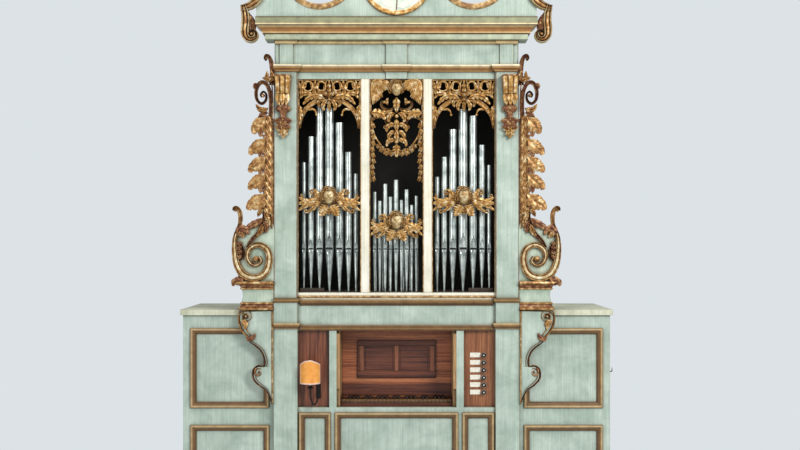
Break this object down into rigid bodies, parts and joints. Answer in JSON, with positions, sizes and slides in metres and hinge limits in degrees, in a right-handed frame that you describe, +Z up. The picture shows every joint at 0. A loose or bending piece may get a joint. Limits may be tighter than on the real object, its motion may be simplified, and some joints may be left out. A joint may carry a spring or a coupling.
{
  "type": "pipe organ",
  "caption": "Painted and gilded chamber organ: pipe tower with carved wings and gable, keyboard console with draw stops, panelled side chests.",
  "frame": {"origin": "centre of the organ's footprint box at floor level", "axes": "+Z up, front with the keyboard faces -Y, +X to the right seen from the front"},
  "size_m": [2.491, 0.794, 3.5998],
  "materials": {
    "sage_paint": "brushed casein paint, worn at the edges",
    "gilding": "water gilding over red bole on carved wood",
    "ochre_moulding": "bronzed ochre on planed mouldings",
    "walnut": "waxed",
    "limewood": "planed, aged",
    "ebonised_wood": "turned and stained black",
    "pipe_metal": "planed tin, slightly dull",
    "cream_paint": "cream distemper",
    "boxwood": "worn and polished by use",
    "label_paper": "blank",
    "black_iron": "forged, blackened",
    "shade_parchment": "stiff amber parchment, pale trim"
  },
  "bodies": {
    "case": {"tower_plinth": "sage_paint", "lower_left_pilaster": "sage_paint", "lower_right_pilaster": "sage_paint", "lower_front": "sage_paint", "console_ceiling": "sage_paint", "belt_rail": "sage_paint", "upper_left_pilaster": "sage_paint", "upper_right_pilaster": "sage_paint", "tower_left_side": "sage_paint", "tower_right_side": "sage_paint", "tower_back": "sage_paint", "tower_roof": "sage_paint", "entablature": "sage_paint", "cornice": "sage_paint", "gable": "sage_paint", "wing_brackets": "sage_paint", "left_chest_case": "sage_paint", "right_chest_case": "sage_paint", "left_chest_lid": "sage_paint", "right_chest_lid": "sage_paint", "pipe_screens": "gilding", "mask_bands": "gilding", "gable_scrolls": "gilding", "corbels": "gilding", "left_wing": "gilding", "right_wing": "gilding", "base_mouldings": "ochre_moulding", "belt_mouldings": "ochre_moulding", "architrave_mouldings": "ochre_moulding", "chest_mouldings": "ochre_moulding", "gable_medallion": "ochre_moulding", "lamp_panel": "walnut", "stop_panel": "walnut", "console_back_board": "walnut", "music_desk": "walnut", "name_board": "walnut", "key_bed": "walnut", "console_cheeks": "limewood", "windchest": "limewood", "key_frame": "ebonised_wood", "sharp_keys": "ebonised_wood", "left_pipes": "pipe_metal", "center_pipes": "pipe_metal", "right_pipes": "pipe_metal", "inner_pipes": "pipe_metal", "window_frame": "cream_paint", "natural_keys": "boxwood", "stop_labels": "label_paper", "lamp_bracket": "black_iron", "side_hook": "black_iron", "lamp_shade": "shade_parchment"},
    "stop_1": {"stop_knob_1": "ebonised_wood"},
    "stop_2": {"stop_knob_2": "ebonised_wood"},
    "stop_3": {"stop_knob_3": "ebonised_wood"},
    "stop_4": {"stop_knob_4": "ebonised_wood"},
    "stop_5": {"stop_knob_5": "ebonised_wood"},
    "stop_6": {"stop_knob_6": "ebonised_wood"}
  },
  "joints": [
    {"name": "stop_1_draw", "type": "slide", "parent": "case", "child": "stop_1", "axis": [0, -1, 0], "range_m": [0, 0.028]},
    {"name": "stop_2_draw", "type": "slide", "parent": "case", "child": "stop_2", "axis": [0, -1, 0], "range_m": [0, 0.028]},
    {"name": "stop_3_draw", "type": "slide", "parent": "case", "child": "stop_3", "axis": [0, -1, 0], "range_m": [0, 0.028]},
    {"name": "stop_4_draw", "type": "slide", "parent": "case", "child": "stop_4", "axis": [0, -1, 0], "range_m": [0, 0.028]},
    {"name": "stop_5_draw", "type": "slide", "parent": "case", "child": "stop_5", "axis": [0, -1, 0], "range_m": [0, 0.028]},
    {"name": "stop_6_draw", "type": "slide", "parent": "case", "child": "stop_6", "axis": [0, -1, 0], "range_m": [0, 0.028]}
  ]
}
